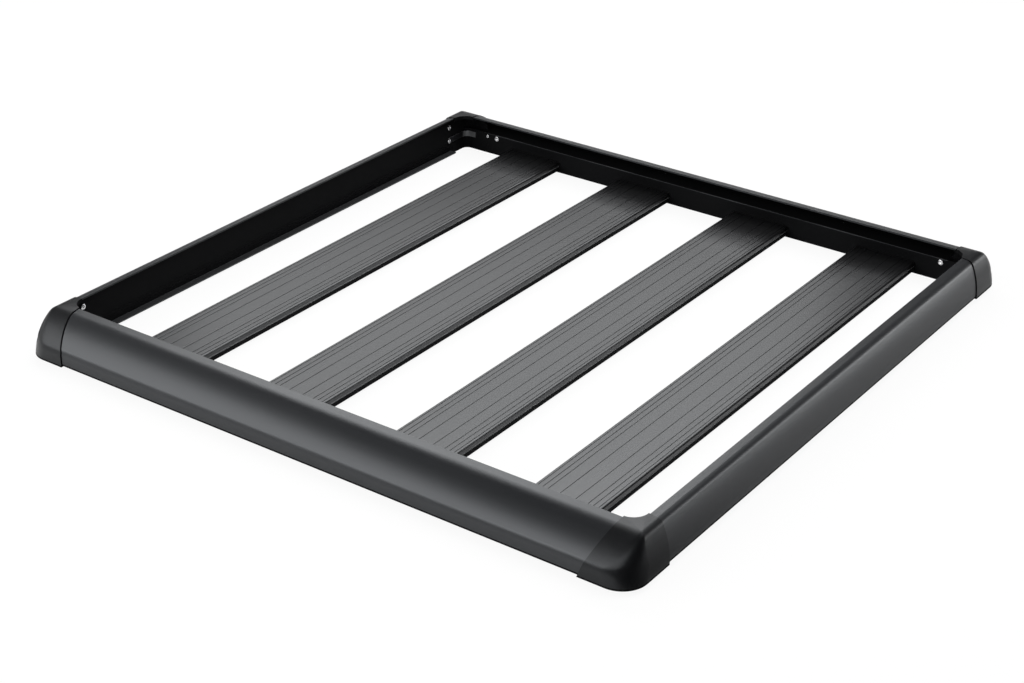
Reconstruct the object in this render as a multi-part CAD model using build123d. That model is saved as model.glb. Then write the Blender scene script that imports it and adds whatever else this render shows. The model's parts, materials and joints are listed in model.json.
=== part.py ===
from build123d import *
import os

# Flat platform roof rack. X runs along the front rail, Y along the slats, Z is up.
# The front rail lies at -Y, and the origin is at the bottom centre.

# Overall size, over the outermost bottom edges of the rails
rack_width = 1000.0
rack_depth = 1040.0
rack_height = 67.5

# Heights and thicknesses that the rails and the caps share
skirt_height = 10.5
crease_drop = 2.2
skin_thickness = 2.5

# Front and rear rail: distances inboard from the outermost edge
wide_low_crease_height = 30.5
wide_crease_inset = 45.0
wide_lip_inset = 60.0
wide_face_bulge = 3.5
wide_crease_round = 37.0
wide_low_crease_round = 14.5
wide_wall_inset = 41.0
ledge_height = 36.3

# Left and right rail: distances inboard from the outermost edge
slim_crease_inset = 14.0
slim_lip_inset = 28.7
slim_face_bulge = 3.5
slim_crease_round = 11.0
slim_wall_inset = 22.0
flange_inset = 33.0
flange_bottom = 4.0
flange_thickness = 2.2
wall_line_count = 3
wall_line_first = 12.0
wall_line_pitch = 4.5
wall_line_depth = 0.5
wall_line_width = 0.9

# Corner caps
cap_proud = 1.5
cap_drop = 2.3
cap_wall = 3.0
cap_front_reach = 51.5
cap_seam_lean = 0.38
cap_side_reach = 84.0
cap_top_radius = 1.2
cap_waist_radius = 41.5
cap_foot_radius = 34.5
cap_spread_power = 0.78
cap_inner_radius = 22.0
cap_recess_inset = 30.0
cap_recess_radius = 16.0
cap_lower_radius = 11.0
cap_levels = 4
seam_gap = 0.8

# Slats
slat_count = 4
slat_edge_inset = 170.0
slat_width = 100.0
slat_thickness = 15.0
slat_bottom = 4.0
slat_wall = 2.0
slat_top_round = 2.5
groove_places = (11.5, 29.5, 37.5, 45.0)
groove_width = 1.0
groove_depth = 0.6
side_groove_height = 5.0
slot_width = 9.0
slot_room_width = 18.0
slot_room_height = 6.5
port_offset = 30.0
port_wall = 1.8

# Corner brackets
bracket_thickness = 3.0
bracket_side_length = 125.0
bracket_front_length = 120.0
bracket_bottom = 14.0
bracket_tab_top = 58.0
bracket_clearance = 0.5

# Screws
screw_shank_radius = 2.5
screw_hole_clearance = 0.25
corner_head_radius = 4.75
corner_head_height = 2.75
small_head_radius = 3.2
small_head_height = 2.0
head_chamfer = 0.8
corner_shank_length = 9.0
side_screw_inset = 90.5
side_screw_heights = (50.5, 26.5)
pair_screw_offsets = (4.8, 24.8)
single_screw_offset = 13.3
front_screw_height = 30.5
slat_head_radius = 5.0
slat_head_height = 3.5
slat_shank_length = 20.0

# Worked-out values
cap_block_reach = cap_front_reach + cap_side_reach + rack_height
crease_height = rack_height - crease_drop
cap_foot_height = skirt_height - cap_drop
slat_length = rack_depth - 2 * wide_wall_inset
slat_pitch = (rack_width - 2 * slat_edge_inset) / (slat_count - 1)
hole_radius = screw_shank_radius + screw_hole_clearance
drill_depth = skin_thickness + bracket_thickness + screw_shank_radius
front_edge = -rack_depth / 2
side_edge = rack_width / 2
far = 2 * (rack_width + rack_depth)

# Planes that the sections are drawn on: local x runs inboard, local y runs up
front_section_plane = Plane(origin=(0, front_edge, 0), x_dir=(0, 1, 0), z_dir=(1, 0, 0))
side_section_plane = Plane(origin=(side_edge, 0, 0), x_dir=(-1, 0, 0), z_dir=(0, 1, 0))
slat_section_plane = Plane(origin=(0, 0, slat_bottom), x_dir=(1, 0, 0), z_dir=(0, -1, 0))


def half_turn(shape):
    """The same piece at the opposite side or corner of the rack."""
    return Rot(0, 0, 180) * shape


def seam_reach(height):
    """How far the cap reaches along the front rail at a height."""
    return cap_front_reach + cap_seam_lean * (crease_height - height)


def seam_plane(extra):
    """The leaning face where the front rail meets the front-right cap."""
    return Plane(
        origin=(side_edge - seam_reach(0) - extra, 0, 0),
        x_dir=(0, 1, 0),
        z_dir=(1, 0, -cap_seam_lean),
    )


def wide_face_arc():
    """The convex outer face of the front rail, from the low crease to the crease."""
    low = (0, wide_low_crease_height)
    high = (wide_crease_inset, crease_height)
    return SagittaArc(low, high, wide_face_bulge)


def slim_face_arc():
    """The convex outer face of a side rail, from the skirt to the crease."""
    low = (0, skirt_height)
    high = (slim_crease_inset, crease_height)
    return SagittaArc(low, high, slim_face_bulge)


def inset_at(arc, height):
    """How far inboard an outer face lies at a height."""
    level = Edge.make_line((-far, height), (far, height))
    hits = arc.find_intersection_points(level)
    return min(point.X for point in hits)


def rect(x_low, x_high, y_low, y_high):
    """A rectangle given by its sides."""
    size = (x_high - x_low, y_high - y_low)
    middle = ((x_low + x_high) / 2, (y_low + y_high) / 2)
    return Pos(*middle) * Rectangle(*size)


def rounded(face, corner, radius):
    """A face with the corner nearest to a point rounded off."""
    return fillet(face.vertices().sort_by_distance(corner)[0], radius)


def wide_section():
    """Hooked section of the front rail: skin, top band, ledge and lower wall."""
    crease = (wide_crease_inset, crease_height)
    lip = (wide_lip_inset, rack_height)
    skin_line = Curve() + [
        Line((0, skirt_height), (0, wide_low_crease_height)),
        wide_face_arc(),
        Line(crease, lip),
    ]
    skin = make_face(offset(skin_line, skin_thickness, side=Side.RIGHT, kind=Kind.INTERSECTION))
    skin = rounded(skin, crease, wide_crease_round)
    skin = rounded(skin, (0, wide_low_crease_height), wide_low_crease_round)
    inner_crease = (wide_crease_inset, crease_height - skin_thickness)
    skin = rounded(skin, inner_crease, wide_crease_round - skin_thickness)
    inner_low_crease = (skin_thickness, wide_low_crease_height)
    skin = rounded(skin, inner_low_crease, wide_low_crease_round - skin_thickness)
    ledge_bottom = ledge_height - skin_thickness
    ledge_start = inset_at(wide_face_arc(), ledge_height) + skin_thickness / 2
    ledge = rect(ledge_start, wide_wall_inset, ledge_bottom, ledge_height)
    wall = rect(wide_wall_inset - skin_thickness, wide_wall_inset, 0, ledge_height)
    return skin + ledge + wall


def slim_section():
    """Hollow section of a side rail, with a lip above and a flange below."""
    crease = (slim_crease_inset, crease_height)
    lip = (slim_lip_inset, rack_height)
    lip_under = (slim_lip_inset, rack_height - skin_thickness)
    wall_top = (slim_wall_inset, rack_height - skin_thickness)
    wall_foot = (slim_wall_inset, skirt_height)
    skirt = (0, skirt_height)
    outline = make_face([
        slim_face_arc(),
        Line(crease, lip),
        Line(lip, lip_under),
        Line(lip_under, wall_top),
        Line(wall_top, wall_foot),
        Line(wall_foot, skirt),
    ])
    outline = rounded(outline, crease, slim_crease_round)
    band_end = (slim_wall_inset, crease_height)
    chamber_line = make_face([
        slim_face_arc(),
        Line(crease, band_end),
        Line(band_end, wall_foot),
        Line(wall_foot, skirt),
    ])
    chamber = offset(chamber_line, -skin_thickness, kind=Kind.INTERSECTION)
    wall_back = slim_wall_inset - skin_thickness
    leg = rect(wall_back, slim_wall_inset, flange_bottom, skirt_height + skin_thickness)
    flange = rect(wall_back, flange_inset, flange_bottom, flange_bottom + flange_thickness)
    section = outline - chamber + leg + flange
    for index in range(wall_line_count):
        line_bottom = wall_line_first + index * wall_line_pitch
        line_top = line_bottom + wall_line_width
        section -= rect(slim_wall_inset - wall_line_depth, slim_wall_inset, line_bottom, line_top)
    return section


def screw(tip, direction, head_radius, head_height, shank_length):
    """A round-headed screw: tip is where the head's underside sits."""
    seat = Plane(origin=tip, z_dir=direction)
    shank = extrude(seat * Circle(screw_shank_radius), -shank_length)
    head = extrude(seat * Circle(head_radius), head_height)
    crown = head.faces().sort_by(Axis(tip, direction))[-1].edges()
    head = chamfer(crown, head_chamfer)
    return head + shank


def side_screw_places():
    """Seats of the screws on the right rail's inner wall, beside the front cap."""
    x = side_edge - slim_wall_inset
    y = front_edge + side_screw_inset
    return [(x, y, height) for height in side_screw_heights]


def front_screw_places(offsets):
    """Seats of the screws on the front rail's lower wall, beside the right cap's seam."""
    x = side_edge - seam_reach(front_screw_height)
    y = front_edge + wide_wall_inset
    return [(x - offset, y, front_screw_height) for offset in offsets]


def mirrored(places):
    """The same places at the other end of the front rail."""
    return [(-x, y, z) for x, y, z in places]


def slat_middles():
    """Where each slat's middle lies along X."""
    first = -slat_pitch * (slat_count - 1) / 2
    return [first + index * slat_pitch for index in range(slat_count)]


def slat_screw_places(middle):
    """Seats of the screws behind the front rail's lower wall, at one slat's end."""
    y = front_edge + wide_wall_inset - skin_thickness
    z = slat_bottom + slat_thickness / 2
    return [(middle + side * port_offset, y, z) for side in (-1, 1)]


def drill(shape, places, direction):
    """Clearance holes right through a wall at the given places."""
    for place in places:
        plane = Plane(origin=place, z_dir=direction)
        shape -= extrude(plane * Circle(hole_radius), drill_depth, both=True)
    return shape


def front_rail():
    """The wide rail, cut at both ends to the leaning seams and drilled."""
    rail = extrude(front_section_plane * wide_section(), rack_width / 2, both=True)
    right_end = seam_plane(seam_gap)
    rail = split(rail, bisect_by=right_end, keep=Keep.BOTTOM)
    left_end = Plane(
        origin=(-right_end.origin.X, 0, 0),
        x_dir=(0, -1, 0),
        z_dir=(-right_end.z_dir.X, 0, right_end.z_dir.Z),
    )
    rail = split(rail, bisect_by=left_end, keep=Keep.BOTTOM)
    places = front_screw_places(pair_screw_offsets)
    places += mirrored(front_screw_places([single_screw_offset]))
    for middle in slat_middles():
        places += slat_screw_places(middle)
    return drill(rail, places, (0, 1, 0))


def right_rail():
    """The slim rail between its two caps, drilled beside each of them."""
    length = rack_depth - 2 * (cap_side_reach + seam_gap)
    rail = extrude(side_section_plane * slim_section(), length / 2, both=True)
    places = side_screw_places()
    places += [(x, -y, z) for x, y, z in places]
    return drill(rail, places, (1, 0, 0))


def rounded_corner_plan(x_low, x_high, y_low, y_high, radius):
    """A rectangle whose corner towards +X and -Y is rounded."""
    plan = rect(x_low, x_high, y_low, y_high)
    corner = plan.vertices().sort_by(Axis.X)[-2:].sort_by(Axis.Y)[0]
    return fillet(corner, radius)


def cap_outline(height, inset, radius):
    """A plan of the cap's outer form at one height, moved inwards by inset."""
    front_inset = 0.0
    if height > wide_low_crease_height:
        front_inset = inset_at(wide_face_arc(), height)
    side_inset = 0.0
    if height > skirt_height:
        side_inset = inset_at(slim_face_arc(), height)
    x_high = side_edge - side_inset - inset
    y_low = front_edge + front_inset + inset
    x_low = side_edge - cap_block_reach
    y_high = front_edge + cap_block_reach
    return Pos(0, 0, height) * rounded_corner_plan(x_low, x_high, y_low, y_high, radius)


def corner_radius(height):
    """The outer corner is tight at the crease, widest at the low crease and draws in to the foot."""
    if height > wide_low_crease_height:
        share = (crease_height - height) / (crease_height - wide_low_crease_height)
        return cap_top_radius + (cap_waist_radius - cap_top_radius) * share ** cap_spread_power
    share = (wide_low_crease_height - height) / (wide_low_crease_height - cap_foot_height)
    return cap_waist_radius + (cap_foot_radius - cap_waist_radius) * share


def cap_block(inset, low, high):
    """The cap's outer form between two heights, moved inwards by inset."""
    step = (high - wide_low_crease_height) / cap_levels
    upper = [wide_low_crease_height + index * step for index in range(cap_levels + 1)]
    lower = [low, (low + wide_low_crease_height) / 2, wide_low_crease_height]
    block = Part()
    for levels in (lower, upper):
        radii = [max(corner_radius(level) - inset, cap_top_radius) for level in levels]
        block += loft([cap_outline(level, inset, radius) for level, radius in zip(levels, radii)])
    return block


def cap_top():
    """The mitred top band of the cap, from the crease up to the inner edge."""
    low = cap_outline(crease_height, -cap_proud, cap_top_radius + cap_proud)
    x_high = side_edge - slim_lip_inset
    y_low = front_edge + wide_lip_inset
    x_low = side_edge - cap_block_reach
    y_high = front_edge + cap_block_reach
    high = Pos(0, 0, rack_height) * rounded_corner_plan(x_low, x_high, y_low, y_high, cap_top_radius)
    return loft([low, high])


def inner_corner(side_inset, front_inset, radius, low, high):
    """The space inside the rack at its front-right corner, between two heights."""
    x_low = side_edge - 2 * cap_block_reach
    x_high = side_edge - side_inset
    y_low = front_edge + front_inset
    y_high = front_edge + 2 * cap_block_reach
    plan = rounded_corner_plan(x_low, x_high, y_low, y_high, radius)
    return extrude(Pos(0, 0, low) * plan, high - low)


def slab(low, high):
    """Everything between two heights near the front-right corner."""
    return inner_corner(-cap_block_reach, -cap_block_reach, cap_top_radius, low, high)


def corner_cap():
    """The moulded cap at the front-right corner: a shell open below and at its ends."""
    ceiling = crease_height - cap_wall
    ledge_bottom = ledge_height - cap_wall
    back_side = slim_wall_inset - skin_thickness
    back_front = wide_wall_inset - skin_thickness
    back_radius = cap_lower_radius + skin_thickness

    cap = cap_block(-cap_proud, cap_foot_height, crease_height) + cap_top()
    hollow = cap_block(cap_wall, cap_foot_height - cap_wall, ceiling)
    wall_back = inner_corner(back_side, back_front, back_radius, 0, ledge_height)
    cap += wall_back & slab(0, cap_foot_height)

    recess = inner_corner(slim_wall_inset, cap_recess_inset, cap_recess_radius, ledge_height, ceiling)
    cap -= recess & hollow
    cap -= inner_corner(slim_wall_inset, wide_wall_inset, cap_lower_radius, -1, ledge_height)
    lip_side = slim_lip_inset + cap_proud
    lip_front = wide_lip_inset + cap_proud
    cap -= inner_corner(lip_side, lip_front, cap_inner_radius, ledge_height - 1, rack_height + 1)

    pocket = (hollow & slab(cap_foot_height - cap_wall, ledge_bottom)) - wall_back
    side_arm = slab(ledge_bottom, ceiling) & Pos(0, wide_lip_inset, 0) * slab(0, rack_height)
    side_arm -= inner_corner(back_side, 0, cap_top_radius, 0, rack_height)
    cap -= pocket
    cap -= hollow & side_arm

    cap = split(cap, bisect_by=seam_plane(0), keep=Keep.TOP)
    side_end = Plane(origin=(0, front_edge + cap_side_reach, 0), z_dir=(0, 1, 0))
    return split(cap, bisect_by=side_end, keep=Keep.BOTTOM)


def slat_section():
    """Hollow slat: grooved top, T-slot below and two round screw ports."""
    half = slat_width / 2
    section = rect(-half, half, 0, slat_thickness)
    top_corners = section.vertices().sort_by(Axis.Y)[-2:]
    section = fillet(top_corners, slat_top_round)
    ceiling = slat_thickness - slat_wall
    room_half = slot_room_width / 2
    room_top = slat_wall + slot_room_height
    section -= rect(-slot_width / 2, slot_width / 2, 0, slat_wall)
    section -= rect(-room_half, room_half, slat_wall, room_top)
    section -= rect(-room_half, room_half, room_top + slat_wall, ceiling)
    for side in (-1, 1):
        ends = sorted((side * (room_half + slat_wall), side * (half - slat_wall)))
        chamber = rect(ends[0], ends[1], slat_wall, ceiling)
        port_middle = Pos(side * port_offset, slat_thickness / 2)
        chamber -= port_middle * Circle(hole_radius + port_wall)
        chamber -= port_middle * Rectangle(port_wall, slat_thickness)
        section -= chamber
        section -= port_middle * Circle(hole_radius)
        for place in groove_places:
            groove_middle = (side * place, slat_thickness - groove_depth / 2)
            section -= Pos(*groove_middle) * Rectangle(groove_width, groove_depth)
        side_middle = (side * (half - groove_depth / 2), side_groove_height)
        section -= Pos(*side_middle) * Rectangle(groove_depth, groove_width)
    return section


def slat(middle):
    """One slat, butted against the lower walls of the front and rear rails."""
    return Pos(middle, 0, 0) * extrude(slat_section_plane * slat_section(), slat_length / 2, both=True)


def slat_screws(middle):
    """Screws from behind the lower walls into both ends of one slat."""
    sizes = (slat_head_radius, slat_head_height, slat_shank_length)
    front = [screw(place, (0, -1, 0), *sizes) for place in slat_screw_places(middle)]
    rear = [half_turn(screw(place, (0, -1, 0), *sizes)) for place in slat_screw_places(-middle)]
    return front + rear


def corner_bracket(front_offsets):
    """Angle bracket behind the walls of the front-right corner."""
    x_face = side_edge - slim_wall_inset + skin_thickness
    y_face = front_edge + wide_wall_inset - skin_thickness
    x_back = x_face + bracket_thickness
    y_back = y_face - bracket_thickness
    top = ledge_height - skin_thickness - bracket_clearance
    x_end = side_edge - bracket_front_length
    y_end = front_edge + bracket_side_length
    y_tab = front_edge + cap_side_reach + bracket_clearance
    side_leg = extrude(rect(x_face, x_back, y_back, y_end), top - bracket_bottom)
    front_leg = extrude(rect(x_end, x_back, y_back, y_face), top - bracket_bottom)
    tab = extrude(rect(x_face, x_back, y_tab, y_end), bracket_tab_top - bracket_bottom)
    bracket = Pos(0, 0, bracket_bottom) * (side_leg + front_leg + tab)
    bracket = drill(bracket, side_screw_places(), (1, 0, 0))
    return drill(bracket, front_screw_places(front_offsets), (0, 1, 0))


def corner_screws(front_offsets):
    """The screws beside the front-right cap: two on the side rail, the rest in front."""
    large = (corner_head_radius, corner_head_height, corner_shank_length)
    small = (small_head_radius, small_head_height, corner_shank_length)
    screws = [screw(place, (-1, 0, 0), *large) for place in side_screw_places()]
    nearest = min(front_offsets)
    for place, offset in zip(front_screw_places(front_offsets), front_offsets):
        is_small = len(front_offsets) > 1 and offset == nearest
        screws.append(screw(place, (0, 1, 0), *(small if is_small else large)))
    return screws


def left_handed(shape):
    """The front-left twin of a front-right piece."""
    return mirror(shape, about=Plane.YZ)


os.makedirs("parts", exist_ok=True)
nodes = {}
nodes["front_rail"] = front_rail()
nodes["rear_rail"] = half_turn(nodes["front_rail"])
nodes["right_rail"] = right_rail()
nodes["left_rail"] = half_turn(nodes["right_rail"])
for index, middle in enumerate(slat_middles(), start=1):
    nodes[f"slat_{index}"] = slat(middle)
    nodes[f"slat_screws_{index}"] = Compound(slat_screws(middle))

pair = list(pair_screw_offsets)
single = [single_screw_offset]
right_cap = corner_cap()
corner_pieces = {
    "corner_cap": (right_cap, left_handed(right_cap)),
    "corner_bracket": (corner_bracket(pair), left_handed(corner_bracket(single))),
    "corner_screws": (Compound(corner_screws(pair)), left_handed(Compound(corner_screws(single)))),
}
for name, (right_piece, left_piece) in corner_pieces.items():
    nodes[f"{name}_front_right"] = right_piece
    nodes[f"{name}_front_left"] = left_piece
    nodes[f"{name}_rear_left"] = half_turn(right_piece)
    nodes[f"{name}_rear_right"] = half_turn(left_piece)

for name, shape in nodes.items():
    export_step(shape, f"parts/{name}.step")
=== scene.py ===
import json
import math

import bpy
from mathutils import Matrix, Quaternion, Vector

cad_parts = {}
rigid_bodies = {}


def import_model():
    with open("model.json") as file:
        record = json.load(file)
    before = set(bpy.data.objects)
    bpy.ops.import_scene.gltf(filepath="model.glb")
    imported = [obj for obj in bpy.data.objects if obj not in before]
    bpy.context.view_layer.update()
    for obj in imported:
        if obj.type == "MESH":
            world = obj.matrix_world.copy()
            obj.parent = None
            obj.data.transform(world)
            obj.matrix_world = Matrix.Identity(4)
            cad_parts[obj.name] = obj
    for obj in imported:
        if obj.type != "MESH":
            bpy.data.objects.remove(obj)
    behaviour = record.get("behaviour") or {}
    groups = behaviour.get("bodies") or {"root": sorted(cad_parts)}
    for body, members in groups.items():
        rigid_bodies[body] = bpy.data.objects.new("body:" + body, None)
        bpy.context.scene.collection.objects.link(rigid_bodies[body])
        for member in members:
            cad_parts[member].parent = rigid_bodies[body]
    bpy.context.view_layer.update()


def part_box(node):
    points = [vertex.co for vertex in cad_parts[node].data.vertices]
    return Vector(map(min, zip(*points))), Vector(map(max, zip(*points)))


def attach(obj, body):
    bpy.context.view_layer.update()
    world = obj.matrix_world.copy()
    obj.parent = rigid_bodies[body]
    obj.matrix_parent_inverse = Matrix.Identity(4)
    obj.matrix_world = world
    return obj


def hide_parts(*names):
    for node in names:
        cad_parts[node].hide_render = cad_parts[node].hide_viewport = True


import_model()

# Studio: a pale round floor, a low white wall behind the rack that dips at the far left, and a dark room.
# Floor and room show as white, and the floor keeps a faint shadow of the rack.
# In mirrors the floor falls off to dark at the near corner, and two black flags lie on it, left and rear.
studio_radius = 9.0
studio_sides = 96
studio_wall_height = 3.6
studio_wall_front = 2.63
open_side = (0.788, -0.616, 0.0)
wall_dip_height = 7.92
wall_dip_slope = (-0.509, 0.546, 1.0)
room_tone = (0.010, 0.0103, 0.0113)
studio_paint = 0.93
mirrored_paint = 0.71
floor_side_fall = (0.490, 0.520)
floor_depth_fall = (0.40, -0.53)
floor_depth_power = 4.0
floor_side_dark = 0.26
floor_seen_share = 0.92
floor_mirrored_share = 0.0
wall_seen_share = 1.0
wall_mirrored_share = 0.66
flag_lift = 0.002
flag_tone = (0.01, 0.01, 0.01)
dark_flags = {
    "left_flag": (-1.00, -0.49, -0.52, 0.10),
    "rear_flag": (-0.55, 0.53, 0.46, 1.60),
}


def math_node(nodes, operation, value=None):
    """A math node, with its second input set where a value is given."""
    node = nodes.new("ShaderNodeMath")
    node.operation = operation
    if value is not None:
        node.inputs[1].default_value = value
    return node


def studio_white(name, seen_share, mirrored_share):
    """White paint with a share of its own light to the eye and in mirrors, and see-through from behind."""
    paint = bpy.data.materials.new(name)
    paint.use_nodes = True
    nodes = paint.node_tree.nodes
    links = paint.node_tree.links
    nodes.clear()
    path = nodes.new("ShaderNodeLightPath")
    seen = math_node(nodes, "MULTIPLY", seen_share)
    through = math_node(nodes, "MULTIPLY_ADD", seen_share)
    mirrored = math_node(nodes, "MULTIPLY_ADD", mirrored_share)
    mirrored.use_clamp = True
    lit = nodes.new("ShaderNodeBsdfDiffuse")
    lit.name = "lit_paint"
    lit.inputs["Color"].default_value = (studio_paint, studio_paint, studio_paint, 1.0)
    glow = nodes.new("ShaderNodeEmission")
    clear = nodes.new("ShaderNodeBsdfTransparent")
    paint_mix = nodes.new("ShaderNodeMixShader")
    side = nodes.new("ShaderNodeNewGeometry")
    side_mix = nodes.new("ShaderNodeMixShader")
    output = nodes.new("ShaderNodeOutputMaterial")
    links.new(path.outputs["Is Camera Ray"], seen.inputs[0])
    links.new(path.outputs["Is Transmission Ray"], through.inputs[0])
    links.new(seen.outputs[0], through.inputs[2])
    links.new(path.outputs["Is Glossy Ray"], mirrored.inputs[0])
    links.new(through.outputs[0], mirrored.inputs[2])
    links.new(mirrored.outputs[0], paint_mix.inputs["Fac"])
    links.new(lit.outputs[0], paint_mix.inputs[1])
    links.new(glow.outputs[0], paint_mix.inputs[2])
    links.new(side.outputs["Backfacing"], side_mix.inputs["Fac"])
    links.new(paint_mix.outputs[0], side_mix.inputs[1])
    links.new(clear.outputs[0], side_mix.inputs[2])
    links.new(side_mix.outputs[0], output.inputs["Surface"])
    return paint


def dim_in_mirrors(paint):
    """Dims a floor's paint in mirrors: less light on the rack's right, and none at its near corner."""
    nodes = paint.node_tree.nodes
    links = paint.node_tree.links
    place = nodes.new("ShaderNodeTexCoord")
    along = nodes.new("ShaderNodeSeparateXYZ")
    links.new(place.outputs["Object"], along.inputs[0])
    falls = []
    for axis, (start, end) in (("X", floor_side_fall), ("Y", floor_depth_fall)):
        fall = nodes.new("ShaderNodeMapRange")
        fall.inputs["From Min"].default_value = start
        fall.inputs["From Max"].default_value = end
        links.new(along.outputs[axis], fall.inputs["Value"])
        falls.append(fall)
    depth = math_node(nodes, "POWER", floor_depth_power)
    depth_dark = math_node(nodes, "MULTIPLY_ADD", 1.0 - floor_side_dark)
    depth_dark.inputs[2].default_value = floor_side_dark
    dark = math_node(nodes, "MULTIPLY")
    mirrored = nodes.new("ShaderNodeMapRange")
    mirrored.inputs["To Min"].default_value = mirrored_paint
    mirrored.inputs["To Max"].default_value = 0.0
    path = nodes.new("ShaderNodeLightPath")
    tone = nodes.new("ShaderNodeMix")
    tone.inputs["A"].default_value = studio_paint
    links.new(falls[1].outputs["Result"], depth.inputs[0])
    links.new(depth.outputs[0], depth_dark.inputs[0])
    links.new(falls[0].outputs["Result"], dark.inputs[0])
    links.new(depth_dark.outputs[0], dark.inputs[1])
    links.new(dark.outputs[0], mirrored.inputs["Value"])
    links.new(path.outputs["Is Glossy Ray"], tone.inputs["Factor"])
    links.new(mirrored.outputs["Result"], tone.inputs["B"])
    links.new(tone.outputs["Result"], nodes["lit_paint"].inputs["Color"])


bpy.ops.object.select_all(action="DESELECT")
bpy.ops.mesh.primitive_circle_add(
    vertices=studio_sides, radius=studio_radius, fill_type="NGON", location=(0, 0, 0),
)
studio_floor = bpy.context.object
studio_floor.name = "studio_floor"
floor_white = studio_white("floor_white", floor_seen_share, floor_mirrored_share)
dim_in_mirrors(floor_white)
studio_floor.data.materials.append(floor_white)

bpy.ops.object.select_all(action="DESELECT")
bpy.ops.mesh.primitive_cylinder_add(
    vertices=studio_sides, radius=studio_radius, depth=studio_wall_height, end_fill_type="NOTHING",
    location=(0, 0, studio_wall_height / 2),
)
studio_wall = bpy.context.object
studio_wall.name = "studio_wall"
bpy.ops.object.transform_apply()
bpy.ops.object.mode_set(mode="EDIT")
bpy.ops.mesh.select_all(action="SELECT")
bpy.ops.mesh.bisect(
    plane_co=Vector(open_side) * studio_wall_front, plane_no=open_side, clear_outer=True,
)
bpy.ops.mesh.select_all(action="SELECT")
bpy.ops.mesh.bisect(plane_co=(0, 0, wall_dip_height), plane_no=wall_dip_slope, clear_outer=True)
bpy.ops.mesh.select_all(action="SELECT")
bpy.ops.mesh.normals_make_consistent(inside=True)
bpy.ops.object.mode_set(mode="OBJECT")
bpy.ops.object.shade_smooth()
studio_wall.data.materials.append(studio_white("wall_white", wall_seen_share, wall_mirrored_share))

flag_cloth = bpy.data.materials.new("flag_cloth")
flag_cloth.use_nodes = True
flag_shader = flag_cloth.node_tree.nodes["Principled BSDF"]
flag_shader.inputs["Base Color"].default_value = (*flag_tone, 1.0)
flag_shader.inputs["Specular IOR Level"].default_value = 0.0
# The flags are painted shade in mirrors: the camera, diffuse light and shadows pass them by.
for name, (x_low, y_low, x_high, y_high) in dark_flags.items():
    bpy.ops.object.select_all(action="DESELECT")
    middle = ((x_low + x_high) / 2, (y_low + y_high) / 2, flag_lift)
    bpy.ops.mesh.primitive_plane_add(size=1.0, location=middle)
    flag = bpy.context.object
    flag.name = name
    flag.scale = (x_high - x_low, y_high - y_low, 1.0)
    bpy.ops.object.transform_apply()
    flag.visible_camera = False
    flag.visible_diffuse = False
    flag.visible_shadow = False
    flag.data.materials.append(flag_cloth)

world = bpy.data.worlds.new("studio_room")
bpy.context.scene.world = world
world.use_nodes = True
room_nodes = world.node_tree.nodes
room_links = world.node_tree.links
room_path = room_nodes.new("ShaderNodeLightPath")
room_mix = room_nodes.new("ShaderNodeMix")
room_mix.data_type = "RGBA"
room_mix.inputs["A"].default_value = (*room_tone, 1.0)
room_mix.inputs["B"].default_value = (1.0, 1.0, 1.0, 1.0)
room_links.new(room_path.outputs["Is Camera Ray"], room_mix.inputs["Factor"])
room_links.new(room_mix.outputs["Result"], room_nodes["Background"].inputs["Color"])

# Lamps: wide soft boxes in front and at the rear left, a low one for the slats, a strip at the rear right.
# Dim fills and a panel above light the rest. The panel shows in no mirror, and the camera's side stays dim.
# Each has its direction from the rack, its distance, its width and height, and its power.
rack_middle = Vector((0.0, 0.0, 0.03))


def soft_box(name, direction, distance, width, height, power):
    """A flat soft lamp that faces the rack."""
    lamp_data = bpy.data.lights.new(name, "AREA")
    lamp_data.shape = "RECTANGLE"
    lamp_data.size = width
    lamp_data.size_y = height
    lamp_data.energy = power
    lamp = bpy.data.objects.new(name, lamp_data)
    bpy.context.scene.collection.objects.link(lamp)
    towards = Vector(direction).normalized()
    lamp.location = rack_middle + towards * distance
    lamp.rotation_mode = "QUATERNION"
    lamp.rotation_quaternion = (-towards).to_track_quat("-Z", "Y")
    lamp.visible_camera = False
    return lamp


soft_box("front_box", (-0.511, -0.700, 0.500), 3.8, 3.4, 1.9, 61.0)
soft_box("near_box", (0.150, -0.850, 0.500), 3.8, 2.9, 1.7, 32.0)
soft_box("left_fill", (-0.750, -0.150, 0.650), 4.0, 2.4, 1.8, 3.6)
soft_box("rear_box", (-0.460, 0.566, 0.800), 3.6, 3.0, 1.65, 60.0)
soft_box("slat_box", (-0.436, 0.584, 0.365), 1.6, 1.5, 0.5, 3.2)
soft_box("rear_fill", (0.250, 0.450, 0.860), 4.2, 3.0, 3.0, 24.0)
soft_box("side_strip", (0.629, 0.777, 0.085), 4.5, 2.3, 0.8, 21.0)
top_panel = soft_box("top_panel", (0.300, 0.100, 0.950), 4.2, 3.0, 3.0, 100.0)
top_panel.visible_glossy = False

# Camera: a long lens above the right end of the front rail, rolled by a little over half a degree.
# Its place and angles were fitted to the straight edges of rails and slats.
camera_azimuth = math.radians(35.2146)
camera_elevation = math.radians(27.6593)
camera_roll = math.radians(0.6713)
camera_target = Vector((0.02854, -0.09163, 0.01104))
camera_distance = 2.82294
camera_lens = 70.0
camera_sensor = 36.0
camera_data = bpy.data.cameras.new("photo_camera")
camera_data.lens = camera_lens
camera_data.sensor_width = camera_sensor
camera = bpy.data.objects.new("photo_camera", camera_data)
bpy.context.scene.collection.objects.link(camera)
camera_back = Vector((
    math.sin(camera_azimuth) * math.cos(camera_elevation),
    -math.cos(camera_azimuth) * math.cos(camera_elevation),
    math.sin(camera_elevation),
))
camera.location = camera_target + camera_back * camera_distance
camera.rotation_mode = "QUATERNION"
camera_aim = (-camera_back).to_track_quat("-Z", "Y")
camera.rotation_quaternion = camera_aim @ Quaternion((0, 0, 1), camera_roll)
bpy.context.scene.camera = camera
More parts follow.
